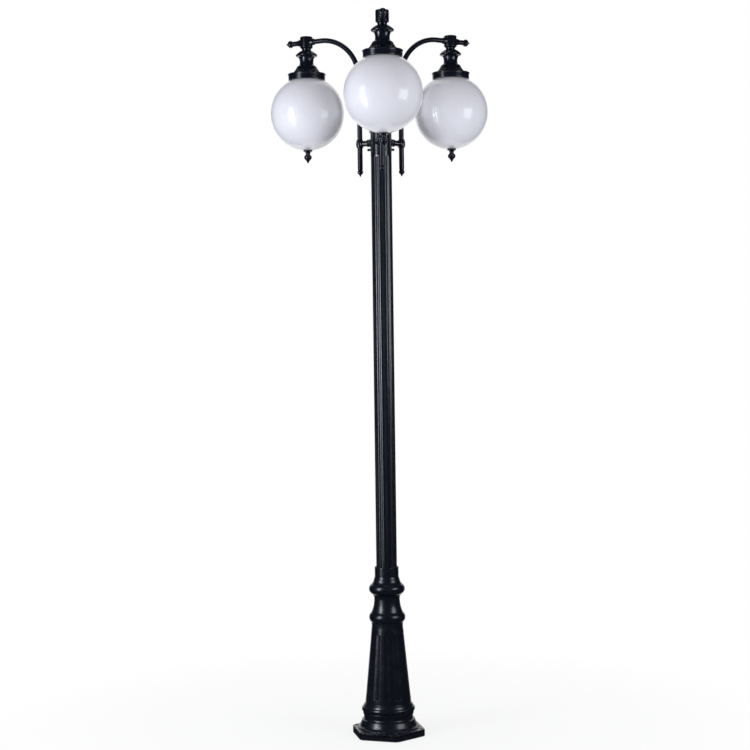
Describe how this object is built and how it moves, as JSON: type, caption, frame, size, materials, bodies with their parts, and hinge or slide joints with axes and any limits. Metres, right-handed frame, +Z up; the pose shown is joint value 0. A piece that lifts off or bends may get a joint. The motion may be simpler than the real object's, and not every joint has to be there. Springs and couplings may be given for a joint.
{
  "type": "triple head lamp post",
  "caption": "Garden lamp post: hexagonal foot, bell base, fluted column and a hub with bent arms, each with a hanging opal globe lamp under a cast canopy.",
  "frame": {"origin": "on the post's axis, at the underside of the foot, which is also the centre of the bolt circle", "axes": "+Z up along the column; one arm points along -Y, the others stand 120 degrees to each side"},
  "size_m": [0.7402, 0.6745, 2.351],
  "materials": {
    "cast_black": "cast, gloss black powder coat with a fine orange-peel grain",
    "column_black": "drawn fluted tube, gloss black powder coat",
    "tube_black": "bent tube, gloss black powder coat",
    "opal": "glossy opal white",
    "bulb_white": "satin white",
    "holder_white": "matt white, heat resistant",
    "block_white": "matt white",
    "rubber_black": "matt",
    "zinc_steel": "zinc plated",
    "black_steel": "blackened",
    "brass": "plain"
  },
  "bodies": {
    "post": {"base_casting": "cast_black", "column_screws": "black_steel", "terminal_block": "block_white", "terminal_screws": "zinc_steel", "earth_screw": "brass", "column_shaft": "column_black", "bracket_hub": "cast_black", "hub_cap": "cast_black", "hub_screws": "black_steel", "eye_screws": "black_steel"},
    "front_arm": {"arm_front": "tube_black", "arm_lower_finial_front": "cast_black", "arm_outer_finial_front": "cast_black"},
    "front_head": {"tee_hub_front": "cast_black", "tee_screw_front": "black_steel", "nipple_front": "zinc_steel", "nipple_nut_front": "zinc_steel", "canopy_front": "cast_black", "gallery_front": "cast_black", "gallery_screws_front": "black_steel", "gasket_front": "rubber_black", "lampholder_front": "holder_white", "bulb_front": "bulb_white"},
    "front_globe": {"globe_front": "opal", "globe_finial_front": "cast_black", "finial_nut_front": "zinc_steel"},
    "right_arm": {"arm_right": "tube_black", "arm_lower_finial_right": "cast_black", "arm_outer_finial_right": "cast_black"},
    "right_head": {"tee_hub_right": "cast_black", "tee_screw_right": "black_steel", "nipple_right": "zinc_steel", "nipple_nut_right": "zinc_steel", "canopy_right": "cast_black", "gallery_right": "cast_black", "gallery_screws_right": "black_steel", "gasket_right": "rubber_black", "lampholder_right": "holder_white", "bulb_right": "bulb_white"},
    "right_globe": {"globe_right": "opal", "globe_finial_right": "cast_black", "finial_nut_right": "zinc_steel"},
    "left_arm": {"arm_left": "tube_black", "arm_lower_finial_left": "cast_black", "arm_outer_finial_left": "cast_black"},
    "left_head": {"tee_hub_left": "cast_black", "tee_screw_left": "black_steel", "nipple_left": "zinc_steel", "nipple_nut_left": "zinc_steel", "canopy_left": "cast_black", "gallery_left": "cast_black", "gallery_screws_left": "black_steel", "gasket_left": "rubber_black", "lampholder_left": "holder_white", "bulb_left": "bulb_white"},
    "left_globe": {"globe_left": "opal", "globe_finial_left": "cast_black", "finial_nut_left": "zinc_steel"}
  },
  "joints": [
    {"name": "front_arm_swivel", "type": "hinge", "parent": "post", "child": "front_arm", "pos_m": [0, -0.08, 1.971], "axis": [0, 0, 1], "range_deg": [-30, 30]},
    {"name": "front_head_tilt", "type": "hinge", "parent": "front_arm", "child": "front_head", "pos_m": [0, -0.283, 2.33], "axis": [0, -1, 0], "range_deg": [-15, 15]},
    {"name": "front_globe_drop", "type": "slide", "parent": "front_head", "child": "front_globe", "axis": [0, 0, -1], "range_m": [0, 0.16]},
    {"name": "right_arm_swivel", "type": "hinge", "parent": "post", "child": "right_arm", "pos_m": [0.06928, 0.04, 1.971], "axis": [0, 0, 1], "range_deg": [-30, 30]},
    {"name": "right_head_tilt", "type": "hinge", "parent": "right_arm", "child": "right_head", "pos_m": [0.24508, 0.1415, 2.33], "axis": [0.866, 0.5, 0], "range_deg": [-15, 15]},
    {"name": "right_globe_drop", "type": "slide", "parent": "right_head", "child": "right_globe", "axis": [0, 0, -1], "range_m": [0, 0.16]},
    {"name": "left_arm_swivel", "type": "hinge", "parent": "post", "child": "left_arm", "pos_m": [-0.06928, 0.04, 1.971], "axis": [0, 0, 1], "range_deg": [-30, 30]},
    {"name": "left_head_tilt", "type": "hinge", "parent": "left_arm", "child": "left_head", "pos_m": [-0.24508, 0.1415, 2.33], "axis": [-0.866, 0.5, 0], "range_deg": [-15, 15]},
    {"name": "left_globe_drop", "type": "slide", "parent": "left_head", "child": "left_globe", "axis": [0, 0, -1], "range_m": [0, 0.16]}
  ]
}
